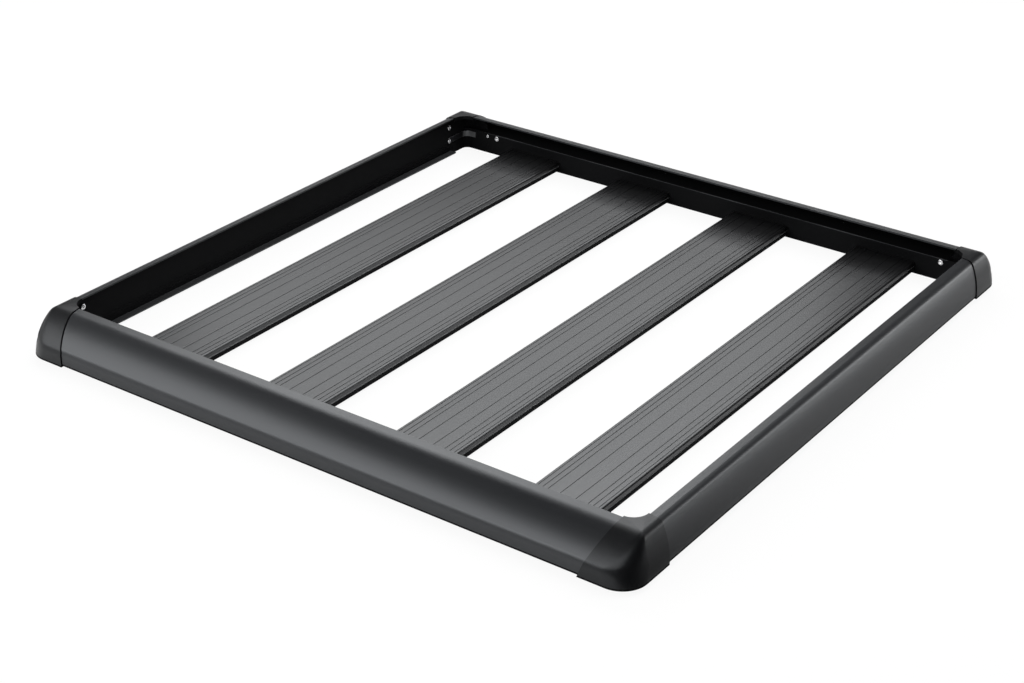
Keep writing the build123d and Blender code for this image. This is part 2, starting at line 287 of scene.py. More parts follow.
bpy.context.scene.view_settings.view_transform = "Standard"

# Front and rear rails: wide hooked aluminium extrusions, coated satin black, with painted shade, flat
# black, inside.
# The outer face is one shallow curve between two creases, and a ledge and a wall below carry the slats.
# Each end is cut off at a lean for a corner cap, and the left end drops straight below the low crease.
front_low, front_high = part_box("front_rail")
front_edge = front_low.y
top_height = front_high.z
skirt_height = 0.0105
skin = 0.0025
low_crease_height = 0.0305
crease_drop = 0.0022
crease_height = top_height - crease_drop
wide_crease_inset = 0.0450
wide_lip_inset = 0.0600
wide_bulge = 0.0035
wide_wall_inset = 0.0410
ledge_height = 0.0363
seam_lean = 0.38
seam_closing = 0.0006
left_seam_reach = 0.0496
left_band_reach = 0.0715
left_seam_gap = 0.0013
left_seam_lean = (left_band_reach - left_seam_reach) / (crease_height - low_crease_height)
side_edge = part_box("right_rail")[1].x
wide_crease_round = 0.0370
low_crease_round = 0.0145
edge_round = 0.0005
# The foot line is the thin strip along each foot that takes painted shade.
foot_line = 0.0026
ledge_line = 0.0012
rail_arc_steps = 12
rail_segments = 2
rail_sharp = math.radians(20)
half_run = 0.46
seed_size = 0.01
weld = 1e-6
touch = 1e-5
coat_index = 1.62
# The sheen tint paints a faint blue into the reflections of every coat, in place of bluish lamplight.
sheen_tint = (0.93, 0.965, 1.0)
streak_detail = 6.0
grain_scale = 1400.0
grain_detail = 3.0
grain_strength = 0.25
rail_dark = (0.0100, 0.0105, 0.0120)
rail_light = (0.0120, 0.0125, 0.0140)
rail_roughness = (0.30, 0.36)
rail_grain = 0.0002
streaks_x = (6, 260, 260)
streaks_y = (260, 6, 260)
# Painted shade: a near-black, dull coat for rail insides, foot lines, slat sides and the caps' inner faces.
painted_shade_dark = (0.003, 0.003, 0.0034)
painted_shade_light = (0.005, 0.005, 0.0054)
painted_shade_roughness = (0.75, 0.9)
painted_shade_streaks = (30, 30, 30)
painted_shade_grain = 0.0001
painted_shade_gloss = 0.1


def new_point(name, spot):
    """Starts a piece as one point in edit mode, with its object at the origin."""
    bpy.ops.object.select_all(action="DESELECT")
    bpy.ops.mesh.primitive_plane_add(size=seed_size, location=(0, 0, 0))
    piece = bpy.context.object
    piece.name = name
    piece.data.name = name
    bpy.ops.object.mode_set(mode="EDIT")
    bpy.ops.mesh.select_mode(type="VERT")
    bpy.ops.mesh.select_all(action="SELECT")
    bpy.ops.mesh.merge(type="CENTER")
    bpy.ops.transform.translate(value=spot)
    return piece


def trace(stops, axis, arc_steps):
    """Draws on from the selected point. A stop is a point, or an arc as its centre and its end."""
    pen = stops[0]
    for stop in stops[1:]:
        if isinstance(stop, tuple):
            centre, end = stop
            turn = (end - centre).cross(pen - centre).dot(Vector(axis))
            angle = math.copysign((pen - centre).angle(end - centre), turn)
            bpy.ops.mesh.spin(steps=arc_steps, angle=angle, center=centre, axis=axis)
            pen = end
        else:
            bpy.ops.mesh.extrude_region_move(TRANSFORM_OT_translate={"value": stop - pen})
            pen = stop


def fill_and_pull(pull):
    """Closes the drawn outline with a face and pulls it out into a bar."""
    bpy.ops.mesh.select_all(action="SELECT")
    bpy.ops.mesh.remove_doubles(threshold=weld)
    bpy.ops.mesh.edge_face_add()
    bpy.ops.mesh.extrude_region_move(TRANSFORM_OT_translate={"value": pull})
    bpy.ops.mesh.select_all(action="SELECT")
    bpy.ops.mesh.normals_make_consistent(inside=False)


def cut_off(spot, outward):
    """Cuts away what lies beyond a plane and closes the cut."""
    bpy.ops.mesh.select_all(action="SELECT")
    bpy.ops.mesh.bisect(plane_co=spot, plane_no=outward, use_fill=True, clear_outer=True)


def select_edges(piece, wanted):
    """Selects the edges whose two ends pass a test."""
    bpy.ops.mesh.select_mode(type="EDGE")
    bpy.ops.mesh.select_all(action="DESELECT")
    bpy.ops.object.mode_set(mode="OBJECT")
    points = piece.data.vertices
    for edge in piece.data.edges:
        edge.select = all(wanted(points[index].co) for index in edge.vertices)
    bpy.ops.object.mode_set(mode="EDIT")


def finish_edges(piece, width, segments, sharp):
    """Rounds every edge sharper than an angle and shades the piece smooth, with flat faces kept flat."""
    bpy.ops.object.mode_set(mode="OBJECT")
    bpy.ops.object.shade_smooth()
    bevel = piece.modifiers.new("edge_round", "BEVEL")
    bevel.width = width
    bevel.segments = segments
    bevel.limit_method = "ANGLE"
    bevel.angle_limit = sharp
    weighted = piece.modifiers.new("flat_faces", "WEIGHTED_NORMAL")
    weighted.keep_sharp = True
    bpy.ops.object.modifier_apply(modifier=bevel.name)
    bpy.ops.object.modifier_apply(modifier=weighted.name)


def pick(piece):
    """Selects one piece alone and makes it the active one."""
    bpy.ops.object.select_all(action="DESELECT")
    piece.select_set(True)
    bpy.context.view_layer.objects.active = piece


def plain_copy(piece, name):
    """Another of the same piece, in the same place."""
    pick(piece)
    bpy.ops.object.duplicate()
    copy = bpy.context.object
    copy.name = name
    copy.data.name = name
    return copy


def turned_copy(piece, name):
    """The same piece at the opposite side of the rack, half a turn about the middle."""
    copy = plain_copy(piece, name)
    bpy.ops.transform.rotate(value=math.pi, orient_axis="Z", center_override=(0, 0, 0))
    bpy.ops.object.transform_apply()
    return copy


def arc_centre(low, high, bulge):
    """Where the centre of a shallow arc between two points lies, on the inboard side."""
    chord = high - low
    radius = chord.length_squared / (8 * bulge) + bulge / 2
    across = Vector((chord.y, -chord.x)).normalized()
    return (low + high) / 2 + across * (radius - bulge)


def on_circle(centre, radius, height):
    """The outboard point of a circle at a height, in section."""
    return Vector((centre.x - math.sqrt(radius ** 2 - (height - centre.y) ** 2), height))


def satin_coat(name, dark, light, roughness, stretch, grain_height):
    """Satin black coating on an extrusion: faint streaks along the bar over a fine grain."""
    coat = bpy.data.materials.new(name)
    coat.use_nodes = True
    nodes = coat.node_tree.nodes
    links = coat.node_tree.links
    shader = nodes["Principled BSDF"]
    place = nodes.new("ShaderNodeTexCoord")
    along = nodes.new("ShaderNodeMapping")
    along.inputs["Scale"].default_value = stretch
    streaks = nodes.new("ShaderNodeTexNoise")
    streaks.inputs["Scale"].default_value = 1.0
    streaks.inputs["Detail"].default_value = streak_detail
    tone = nodes.new("ShaderNodeMix")
    tone.data_type = "RGBA"
    tone.inputs["A"].default_value = (*dark, 1.0)
    tone.inputs["B"].default_value = (*light, 1.0)
    sheen = nodes.new("ShaderNodeMapRange")
    sheen.inputs["To Min"].default_value = roughness[0]
    sheen.inputs["To Max"].default_value = roughness[1]
    grain = nodes.new("ShaderNodeTexNoise")
    grain.inputs["Scale"].default_value = grain_scale
    grain.inputs["Detail"].default_value = grain_detail
    bump = nodes.new("ShaderNodeBump")
    bump.inputs["Strength"].default_value = grain_strength
    bump.inputs["Distance"].default_value = grain_height
    shader.inputs["IOR"].default_value = coat_index
    shader.inputs["Specular Tint"].default_value = (*sheen_tint, 1.0)
    links.new(place.outputs["Object"], along.inputs["Vector"])
    links.new(along.outputs["Vector"], streaks.inputs["Vector"])
    links.new(place.outputs["Object"], grain.inputs["Vector"])
    links.new(streaks.outputs["Fac"], tone.inputs["Factor"])
    links.new(tone.outputs["Result"], shader.inputs["Base Color"])
    links.new(streaks.outputs["Fac"], sheen.inputs["Value"])
    links.new(sheen.outputs["Result"], shader.inputs["Roughness"])
    links.new(grain.outputs["Fac"], bump.inputs["Height"])
    links.new(bump.outputs["Normal"], shader.inputs["Normal"])
    return coat


def paint_faces(piece, material, wanted):
    """Adds a material to a piece and puts it on the faces whose middle and normal pass a test."""
    piece.data.materials.append(material)
    for face in piece.data.polygons:
        if wanted(face.center, face.normal):
            face.material_index = len(piece.data.materials) - 1


def at_front(start, point):
    """A point of the front rail's section, given inboard and up, at a place along the rail."""
    return Vector((start, front_edge + point.x, point.y))


def meet_circle(start, along, centre, radius):
    """Where a line meets a circle, at the meeting point nearer to the line's start."""
    offset = start - centre
    middle = -offset.dot(along)
    half_chord = math.sqrt(middle ** 2 - offset.length_squared + radius ** 2)
    reach = min(middle - half_chord, middle + half_chord, key=abs)
    return start + along * reach


def rounded_crease(centre, crease, lip, radius):
    """The arc that rounds a crease: its centre, and where it leaves the face and reaches the top band."""
    along = (lip - crease).normalized()
    down = Vector((along.y, -along.x)) * radius
    face_radius = (crease - centre).length
    middle = meet_circle(crease + down, along, centre, face_radius - radius)
    return middle, centre + (middle - centre).normalized() * face_radius, middle - down


def rounded_low_crease(centre, low_crease, radius):
    """The arc that rounds the low crease: its centre, and its ends on the face and on the lower band."""
    inboard = Vector((radius, 0.0))
    face_radius = (low_crease - centre).length
    middle = meet_circle(low_crease + inboard, Vector((0.0, 1.0)), centre, face_radius - radius)
    return middle, centre + (middle - centre).normalized() * face_radius, middle - inboard


def wide_outline():
    """The hooked section: skin, top band, lip, ledge and lower wall, as inboard and up."""
    low_crease = Vector((0.0, low_crease_height))
    crease = Vector((wide_crease_inset, crease_height))
    lip = Vector((wide_lip_inset, top_height))
    centre = arc_centre(low_crease, crease, wide_bulge)
    inner_radius = (crease - centre).length - skin
    band_along = (lip - crease).normalized()
    band_down = Vector((band_along.y, -band_along.x)) * skin
    round_centre, face_end, band_start = rounded_crease(centre, crease, lip, wide_crease_round)
    low_centre, face_start, band_top = rounded_low_crease(centre, low_crease, low_crease_round)
    ledge_bottom = ledge_height - skin
    inner_skirt = Vector((skin, centre.y + math.sqrt(inner_radius ** 2 - (skin - centre.x) ** 2)))
    band_end = meet_circle(crease + band_down, band_along, centre, inner_radius)
    return centre, [
        Vector((0.0, skirt_height)),
        Vector((0.0, skirt_height + foot_line)),
        band_top,
        (low_centre, face_start),
        (centre, face_end),
        (round_centre, band_start),
        lip,
        lip + band_down,
        band_end,
        (centre, on_circle(centre, inner_radius, ledge_height)),
        Vector((wide_wall_inset, ledge_height)),
        Vector((wide_wall_inset, ledge_height - ledge_line)),
        Vector((wide_wall_inset, 0.0)),
        Vector((wide_wall_inset - skin, 0.0)),
        Vector((wide_wall_inset - skin, ledge_bottom)),
        on_circle(centre, inner_radius, ledge_bottom),
        (centre, inner_skirt),
        Vector((skin, skirt_height)),
        Vector((0.0, skirt_height)),
    ]


def place_stops(stops, place):
    """Sets the stops of a section into the rack."""
    placed = []
    for stop in stops:
        if isinstance(stop, tuple):
            placed.append(tuple(place(part) for part in stop))
        else:
            placed.append(place(stop))
    return placed


wide_centre, wide_section = wide_outline()
wide_inside = (Vector((wide_crease_inset, crease_height)) - wide_centre).length - skin / 2
wide_stops = place_stops(wide_section, lambda point: at_front(-half_run, point))
front_rail = new_point("front_rail_coated", wide_stops[0])
trace(wide_stops, (1, 0, 0), rail_arc_steps)
fill_and_pull((2 * half_run, 0, 0))
cut_off((front_high.x + seam_closing, 0, top_height), (1, 0, -seam_lean))
cut_off((left_seam_reach + left_seam_gap - side_edge, 0, crease_height), (-1, 0, -left_seam_lean))
bpy.ops.mesh.select_all(action="SELECT")
bpy.ops.mesh.bisect(plane_co=(0, 0, low_crease_height), plane_no=(0, 0, 1))
left_band_end = left_band_reach + left_seam_gap - side_edge
wall_start = front_edge + wide_wall_inset - 2 * skin


def on_left_band(spot):
    """Whether a point of the front rail lies at its left end, below the low crease."""
    return spot.x < 0 and spot.z < low_crease_height + touch


def on_left_wall(spot):
    """Whether a point of the front rail lies at the left end of its lower wall."""
    return spot.x < 0 and spot.z < ledge_height + touch and spot.y > wall_start


select_edges(front_rail, on_left_band)
bpy.ops.transform.resize(value=(0, 1, 1), center_override=(left_band_end, 0, 0))
select_edges(front_rail, on_left_wall)
bpy.ops.transform.translate(value=(-left_seam_gap, 0, 0))
bpy.ops.mesh.select_mode(type="VERT")
finish_edges(front_rail, edge_round, rail_segments, rail_sharp)
skin_middle = 0.6 * skin
foot_depth = 1.1 * skin
end_facing = 0.5


def inside_wide(middle, normal):
    """Whether a face lies within the hook of a front or rear rail, and not on the ledge's front edge."""
    section = Vector((abs(abs(middle.y) + front_edge), middle.z))
    behind_skin = (section - wide_centre).length < wide_inside and section.x > skin_middle
    ledge_edge = section.x > wide_wall_inset - edge_round and middle.z > ledge_height - ledge_line
    below_band = middle.z < crease_height - skin / 2
    return behind_skin and not ledge_edge and below_band and abs(normal.x) < end_facing


def painted_shade_on_wide(middle, normal):
    """Whether a face of a front or rear rail gets painted shade, flat black: inside, or the thin dark line
    along its foot.
    """
    on_foot = middle.z < skirt_height + foot_line and abs(abs(middle.y) + front_edge) < foot_depth
    return inside_wide(middle, normal) or on_foot


rail_coat = satin_coat("rail_coat_x", rail_dark, rail_light, rail_roughness, streaks_x, rail_grain)
# The painted shade coat goes on the hook's inner faces and on a thin dark line along the foot.
painted_shade_black = satin_coat(
    "painted_shade_black", painted_shade_dark, painted_shade_light, painted_shade_roughness, painted_shade_streaks, painted_shade_grain,
)
painted_shade_black.node_tree.nodes["Principled BSDF"].inputs["Specular IOR Level"].default_value = painted_shade_gloss
front_rail.data.materials.append(rail_coat)
paint_faces(front_rail, painted_shade_black, painted_shade_on_wide)
rear_rail = turned_copy(front_rail, "rear_rail_coated")
for rail, node in ((front_rail, "front_rail"), (rear_rail, "rear_rail")):
    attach(rail, "root")
    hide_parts(node)

# Side rails: slim aluminium extrusions with a curved outer face, a lip above and a flange below.
# Coated like the front rail, with painted shade, flat black, on the inner wall, where three fine lines run
# along.
# The flange's upper side has painted light: a lighter coat on its top only.
right_low, right_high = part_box("right_rail")
slim_crease_inset = 0.0140
slim_lip_inset = 0.0287
slim_bulge = 0.0035
slim_crease_round = 0.0110
slim_wall_inset = 0.0220
flange_inset = 0.0330
flange_bottom = right_low.z
flange_thickness = 0.0022
wall_line_heights = (0.0120, 0.0165, 0.0210)
wall_line_width = 0.0009
wall_line_depth = 0.0005
# A lighter coat on the flange's upper side paints in the light it catches from above.
painted_lit_flange_dark = (0.032, 0.033, 0.035)
painted_lit_flange_light = (0.040, 0.041, 0.043)
upward = 0.9


def slim_outline():
    """The side rail's section, as inboard and up, with its three fine lines."""
    skirt = Vector((0.0, skirt_height))
    crease = Vector((slim_crease_inset, crease_height))
    lip = Vector((slim_lip_inset, top_height))
    centre = arc_centre(skirt, crease, slim_bulge)
    round_centre, face_end, band_start = rounded_crease(centre, crease, lip, slim_crease_round)
    lip_bottom = top_height - skin
    wall_back = slim_wall_inset - skin
    flange_top = flange_bottom + flange_thickness
    stops = [
        skirt,
        (centre, on_circle(centre, (crease - centre).length, skirt_height + foot_line)),
        (centre, face_end),
        (round_centre, band_start),
        lip,
        Vector((slim_lip_inset, lip_bottom)),
        Vector((slim_wall_inset, lip_bottom)),
    ]
    for line_bottom in reversed(wall_line_heights):
        line_top = line_bottom + wall_line_width
        stops += [
            Vector((slim_wall_inset, line_top)),
            Vector((slim_wall_inset - wall_line_depth, line_top)),
            Vector((slim_wall_inset - wall_line_depth, line_bottom)),
            Vector((slim_wall_inset, line_bottom)),
        ]
    stops += [
        Vector((slim_wall_inset, flange_top)),
        Vector((flange_inset, flange_top)),
        Vector((flange_inset, flange_bottom)),
        Vector((wall_back, flange_bottom)),
        Vector((wall_back, skirt_height)),
        skirt,
    ]
    return stops


def at_right(point):
    """A point of the right rail's section, at the rail's front end."""
    return Vector((side_edge - point.x, right_low.y, point.y))


slim_stops = place_stops(slim_outline(), at_right)
right_rail = new_point("right_rail_coated", slim_stops[0])
trace(slim_stops, (0, 1, 0), rail_arc_steps)
fill_and_pull((0, right_high.y - right_low.y, 0))
finish_edges(right_rail, edge_round / 2, rail_segments, rail_sharp)


def painted_shade_on_slim(middle, normal):
    """Whether a face of a side rail gets painted shade, flat black: on its inner wall, under its lip or
    along its foot.
    """
    inset = side_edge - abs(middle.x)
    above_flange = middle.z > flange_bottom + flange_thickness + edge_round
    in_wall = inset > slim_wall_inset - 2 * wall_line_depth and middle.z < top_height - skin + touch
    on_foot = inset < slim_wall_inset - skin and middle.z < skirt_height + foot_line
    return (above_flange and in_wall) or on_foot


def painted_light_on_flange(middle, normal):
    """Whether a face is the upper side of a side rail's flange, which gets painted light."""
    inset = side_edge - abs(middle.x)
    near_flange = inset > slim_wall_inset and middle.z < flange_bottom + 2 * flange_thickness
    return near_flange and normal.z > upward


rail_coat_y = satin_coat("rail_coat_y", rail_dark, rail_light, rail_roughness, streaks_y, rail_grain)
painted_lit_flange = satin_coat("painted_lit_flange", painted_lit_flange_dark, painted_lit_flange_light, rail_roughness, streaks_y, rail_grain)
right_rail.data.materials.append(rail_coat_y)
# Painted shade on the inner wall, under the lip and along the foot.
paint_faces(right_rail, painted_shade_black, painted_shade_on_slim)
# Painted light on the flange's upper side.
paint_faces(right_rail, painted_lit_flange, painted_light_on_flange)
left_rail = turned_copy(right_rail, "left_rail_coated")
for rail, node in ((right_rail, "right_rail"), (left_rail, "left_rail")):
    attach(rail, "root")
    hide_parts(node)

# Slats: four wide hollow extrusions, anodised satin black, butted against the rails' lower walls.
# Fine grooves run along the top and the sides, and a T-slot for clamp bolts runs along below.
# A side has painted shade, flat black, below its groove, and the groove has a painted highlight, a light
# grey coat.
slat_names = ("slat_1", "slat_2", "slat_3", "slat_4")
slat_round = 0.0025
groove_places = (0.0115, 0.0295, 0.0375, 0.0450)
groove_width = 0.0010
groove_depth = 0.0006
side_groove_height = 0.0080
side_groove_width = 0.0016
slot_width = 0.0090
slot_room_width = 0.0180
slot_room_height = 0.0065
slat_wall = 0.0020
slat_arc_steps = 6
slat_edge_round = 0.0002
slat_segments = 2
slat_sharp = math.radians(35)
slat_dark = (0.009, 0.009, 0.0095)
slat_light = (0.012, 0.012, 0.0125)
slat_roughness = (0.25, 0.32)
slat_streaks = (420, 5, 420)
slat_grain = 0.00005
# Painted highlight: a light grey coat for the slats' side grooves and the straps' short ends.
painted_highlight_dark = (0.130, 0.132, 0.136)
painted_highlight_light = (0.150, 0.152, 0.156)
slat_low, slat_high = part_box("slat_1")
slat_half = (slat_high.x - slat_low.x) / 2
slat_middle = (slat_high.x + slat_low.x) / 2


def half_slat(thickness):
    """The right half of the slat's section, from the slot's middle round to the top's middle."""
    side_groove_low = side_groove_height - side_groove_width / 2
    side_groove_high = side_groove_height + side_groove_width / 2
    round_inset = slat_half - slat_round
    stops = [
        Vector((slot_room_width / 2, slat_wall + slot_room_height)),
        Vector((slot_room_width / 2, slat_wall)),
        Vector((slot_width / 2, slat_wall)),
        Vector((slot_width / 2, 0.0)),
        Vector((slat_half, 0.0)),
        Vector((slat_half, side_groove_low)),
        Vector((slat_half - groove_depth, side_groove_low)),
        Vector((slat_half - groove_depth, side_groove_high)),
        Vector((slat_half, side_groove_high)),
        Vector((slat_half, thickness - slat_round)),
        (Vector((round_inset, thickness - slat_round)), Vector((round_inset, thickness))),
    ]
    for place in reversed(groove_places):
        stops += [
            Vector((place + groove_width / 2, thickness)),
            Vector((place + groove_width / 2, thickness - groove_depth)),
            Vector((place - groove_width / 2, thickness - groove_depth)),
            Vector((place - groove_width / 2, thickness)),
        ]
    return stops


def other_half(stops):
    """The left half of a section, drawn on from the right half, back to its start."""
    flipped = []
    for before, stop in zip(stops, stops[1:]):
        start = before[1] if isinstance(before, tuple) else before
        end = Vector((-start.x, start.y))
        if isinstance(stop, tuple):
            flipped.append((Vector((-stop[0].x, stop[0].y)), end))
        else:
            flipped.append(end)
    last = Vector((-stops[-1].x, stops[-1].y))
    return [last] + list(reversed(flipped)) + [stops[0]]


def at_slat(point):
    """A point of the first slat's section, at its front end."""
    return Vector((slat_middle + point.x, slat_low.y, slat_low.z + point.y))


slat_right = half_slat(slat_high.z - slat_low.z)
slat_stops = place_stops(slat_right + other_half(slat_right), at_slat)
first_slat = new_point("slat_1_grooved", slat_stops[0])
trace(slat_stops, (0, 1, 0), slat_arc_steps)
fill_and_pull((0, slat_high.y - slat_low.y, 0))
finish_edges(first_slat, slat_edge_round, slat_segments, slat_sharp)
slat_coat = satin_coat("slat_coat", slat_dark, slat_light, slat_roughness, slat_streaks, slat_grain)
first_slat.data.materials.append(slat_coat)
sideways = 0.6
groove_margin = 0.6 * side_groove_width


def on_slat_side(middle, normal):
    """Whether a face belongs to a slat's side, below its groove, where shade is painted."""
    at_side = abs(middle.x - slat_middle) > slat_half - slat_round
    return at_side and abs(normal.x) > sideways and middle.z < slat_low.z + side_groove_height


def in_side_groove(middle, normal):
    """Whether a face lies in the groove along a slat's side, where a highlight is painted."""
    at_side = slat_half - slat_round < abs(middle.x - slat_middle) < slat_half + touch
    return at_side and abs(middle.z - slat_low.z - side_groove_height) < groove_margin


# Painted shade on the slats' sides below the groove, and a painted highlight in the groove.
paint_faces(first_slat, painted_shade_black, on_slat_side)
painted_highlight_coat = satin_coat("painted_highlight_coat", painted_highlight_dark, painted_highlight_light, rail_roughness, streaks_y, rail_grain)
paint_faces(first_slat, painted_highlight_coat, in_side_groove)
for node in slat_names:
    if node == slat_names[0]:
        slat = first_slat
    else:
        slat = plain_copy(first_slat, node + "_grooved")
        bpy.ops.transform.translate(value=(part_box(node)[0].x - slat_low.x, 0, 0))
        bpy.ops.object.transform_apply()
    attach(slat, "root")
    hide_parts(node)

# Corner caps: moulded black plastic shells that join the rails, standing slightly proud of them.
# The outer corner is a tight mitre at the crease, widens down to the low crease and draws in to the foot.
# The front left cap's seam leans more than the right one's and drops straight below the low crease.
cap_proud = 0.0015
cap_rise = 0.0008
cap_foot_height = 0.0082
cap_wall = 0.0030
cap_reach_at_crease = 0.0515
cap_side_reach = 0.0840
cap_top_radius = 0.0012
cap_waist_radius = 0.0415
cap_foot_radius = 0.0345
cap_spread_power = 0.78
cap_inner_radius = 0.0220
cap_recess_inset = 0.0300
cap_recess_radius = 0.0160
cap_lower_radius = 0.0110
cap_spare = 0.0080
cap_arc_steps = 16
cap_segments = 3
cap_sharp = math.radians(24)
cap_low_rows = (cap_foot_height, 0.0108, 0.0135, 0.0170, 0.0230, 0.0265, 0.0290, 0.0315, 0.0340, 0.0370)
cap_middle_rows = (0.0410, 0.0455, 0.0500, 0.0540, 0.0575, 0.0600)
cap_high_rows = (0.0618, 0.0632, 0.0643, 0.0652, 0.0658, 0.0662)
cap_dark = (0.0040, 0.0041, 0.0047)
cap_light = (0.0055, 0.0056, 0.0063)
cap_roughness = (0.30, 0.37)
cap_streaks = (90, 90, 90)
cap_grain = 0.0003
cap_index = 1.47
# The cap's painted shade line along its foot starts at this height.
cap_line_start = 0.005
into_rack = 0.3
not_top = 0.7
wide_low = Vector((0.0, low_crease_height))
wide_crease = Vector((wide_crease_inset, crease_height))
wide_lip = Vector((wide_lip_inset, top_height))
slim_low = Vector((0.0, skirt_height))
slim_crease = Vector((slim_crease_inset, crease_height))
slim_lip = Vector((slim_lip_inset, top_height))
slim_centre = arc_centre(slim_low, slim_crease, slim_bulge)


def upper_inset(height, centre, crease, lip, radius):
    """How far inboard a rail's face, rounded crease or top band lies at a height."""
    middle, face_end, band_start = rounded_crease(centre, crease, lip, radius)
    if height <= face_end.y:
        return on_circle(centre, (crease - centre).length, height).x
    if height <= band_start.y:
        return on_circle(middle, radius, height).x
    return crease.x + (lip.x - crease.x) * (height - crease.y) / (lip.y - crease.y)


def front_inset(height):
    """How far inboard the front face lies at a height."""
    middle, face_start, band_top = rounded_low_crease(wide_centre, wide_low, low_crease_round)
    if height <= band_top.y:
        return 0.0
    if height <= face_start.y:
        return on_circle(middle, low_crease_round, height).x
    return upper_inset(height, wide_centre, wide_crease, wide_lip, wide_crease_round)


def side_inset(height):
    """How far inboard the side face lies at a height."""
    if height <= skirt_height:
        return 0.0
    return upper_inset(height, slim_centre, slim_crease, slim_lip, slim_crease_round)


def cap_radius(height):
    """The outer corner's radius in plan at a height."""
    if height >= crease_height:
        return cap_top_radius
    if height > low_crease_height:
        share = (crease_height - height) / (crease_height - low_crease_height)
        return cap_top_radius + (cap_waist_radius - cap_top_radius) * share ** cap_spread_power
    share = (low_crease_height - height) / (low_crease_height - cap_foot_height)
    return cap_waist_radius + (cap_foot_radius - cap_waist_radius) * share


def skin_row(height, inset):
    """One row of the cap's skin: its height, its side and front insets and its corner radius."""
    radius = max(cap_radius(height) - inset, cap_top_radius)
    return height, side_inset(height) + inset, front_inset(height) + inset, radius


def raised(row):
    """A row of the outer skin, lifted a little more the higher it lies."""
    share = (row[0] - low_crease_height) / (crease_height - low_crease_height)
    lift = cap_rise * min(max(share, 0.0), 1.0)
    return (row[0] + lift, *row[1:])


def cap_rows():
    """The rows that the cap's shell is stretched over, once round its section from the foot."""
    ceiling = crease_height - cap_wall
    ledge_under = ledge_height - cap_wall
    lower_middle = (cap_foot_height + low_crease_height) / 2
    recess_middle = (ledge_height + ceiling) / 2
    lip_side = slim_lip_inset + cap_proud
    lip_front = wide_lip_inset + cap_proud
    back_side = slim_wall_inset - skin
    back_front = wide_wall_inset - skin
    skin_heights = cap_low_rows + cap_middle_rows + cap_high_rows
    rows = [raised(skin_row(height, -cap_proud)) for height in skin_heights]
    rows += [
        raised((top_height, lip_side, lip_front, cap_inner_radius)),
        (ceiling, lip_side, lip_front, cap_inner_radius),
        (ceiling, slim_wall_inset, front_inset(ceiling) + cap_wall, cap_recess_radius),
        (recess_middle, slim_wall_inset, cap_recess_inset, cap_recess_radius),
        (ledge_height, slim_wall_inset, cap_recess_inset, cap_recess_radius),
        (ledge_height, slim_wall_inset, wide_wall_inset, cap_lower_radius),
        (0.0, slim_wall_inset, wide_wall_inset, cap_lower_radius),
        (0.0, back_side, back_front, cap_lower_radius + skin),
        (ledge_under, back_side, back_front, cap_lower_radius + skin),
        skin_row(ledge_under, cap_wall),
        skin_row(lower_middle, cap_wall),
        skin_row(cap_foot_height, cap_wall),
    ]
    return rows


def add_row(row):
    """Draws one row of the front-right cap as a chain round the corner, from front to side."""
    height, side, front, radius = row
    stops = [
        Vector((side_edge - cap_side_reach - cap_spare, front_edge + front, height)),
        Vector((side_edge - side - radius, front_edge + front, height)),
        (
            Vector((side_edge - side - radius, front_edge + front + radius, height)),
            Vector((side_edge - side, front_edge + front + radius, height)),
        ),
        Vector((side_edge - side, front_edge + cap_side_reach + cap_spare, height)),
    ]
    bpy.ops.mesh.select_all(action="DESELECT")
    bpy.ops.mesh.primitive_plane_add(size=seed_size, location=(0, 0, 0))
    bpy.ops.mesh.merge(type="CENTER")
    bpy.ops.transform.translate(value=stops[0])
    trace(stops, (0, 0, 1), cap_arc_steps)


def stretch_between(piece, chain_length, first, second):
    """Stretches faces between two rows, which are numbered in the order they were drawn."""
    bpy.ops.mesh.select_mode(type="EDGE")
    bpy.ops.mesh.select_all(action="DESELECT")
    bpy.ops.object.mode_set(mode="OBJECT")
    for edge in piece.data.edges:
        rows = [index // chain_length for index in edge.vertices]
        edge.select = rows[0] == rows[1] and rows[0] in (first, second)
    bpy.ops.object.mode_set(mode="EDIT")
    bpy.ops.mesh.bridge_edge_loops()


cap = new_point("corner_cap_front_right_moulded", Vector((0, 0, 0)))
bpy.ops.mesh.delete(type="VERT")
shell_rows = cap_rows()
for row in shell_rows:
    add_row(row)
row_length = cap_arc_steps + 3
for number in range(len(shell_rows)):
    stretch_between(cap, row_length, number, (number + 1) % len(shell_rows))
bpy.ops.mesh.select_all(action="SELECT")
bpy.ops.mesh.normals_make_consistent(inside=False)
bpy.ops.object.mode_set(mode="OBJECT")
cap_plastic = satin_coat("cap_plastic", cap_dark, cap_light, cap_roughness, cap_streaks, cap_grain)
cap_plastic.node_tree.nodes["Principled BSDF"].inputs["IOR"].default_value = cap_index


def mirrored_copy(piece, name):
    """The left-handed twin of a piece, across the rack's middle."""
    copy = plain_copy(piece, name)
    bpy.ops.transform.mirror(
        constraint_axis=(True, False, False), orient_type="GLOBAL", center_override=(0, 0, 0),
    )
    bpy.ops.object.transform_apply()
    bpy.ops.object.mode_set(mode="EDIT")
    bpy.ops.mesh.select_all(action="SELECT")
    bpy.ops.mesh.normals_make_consistent(inside=False)
    bpy.ops.object.mode_set(mode="OBJECT")
    return copy


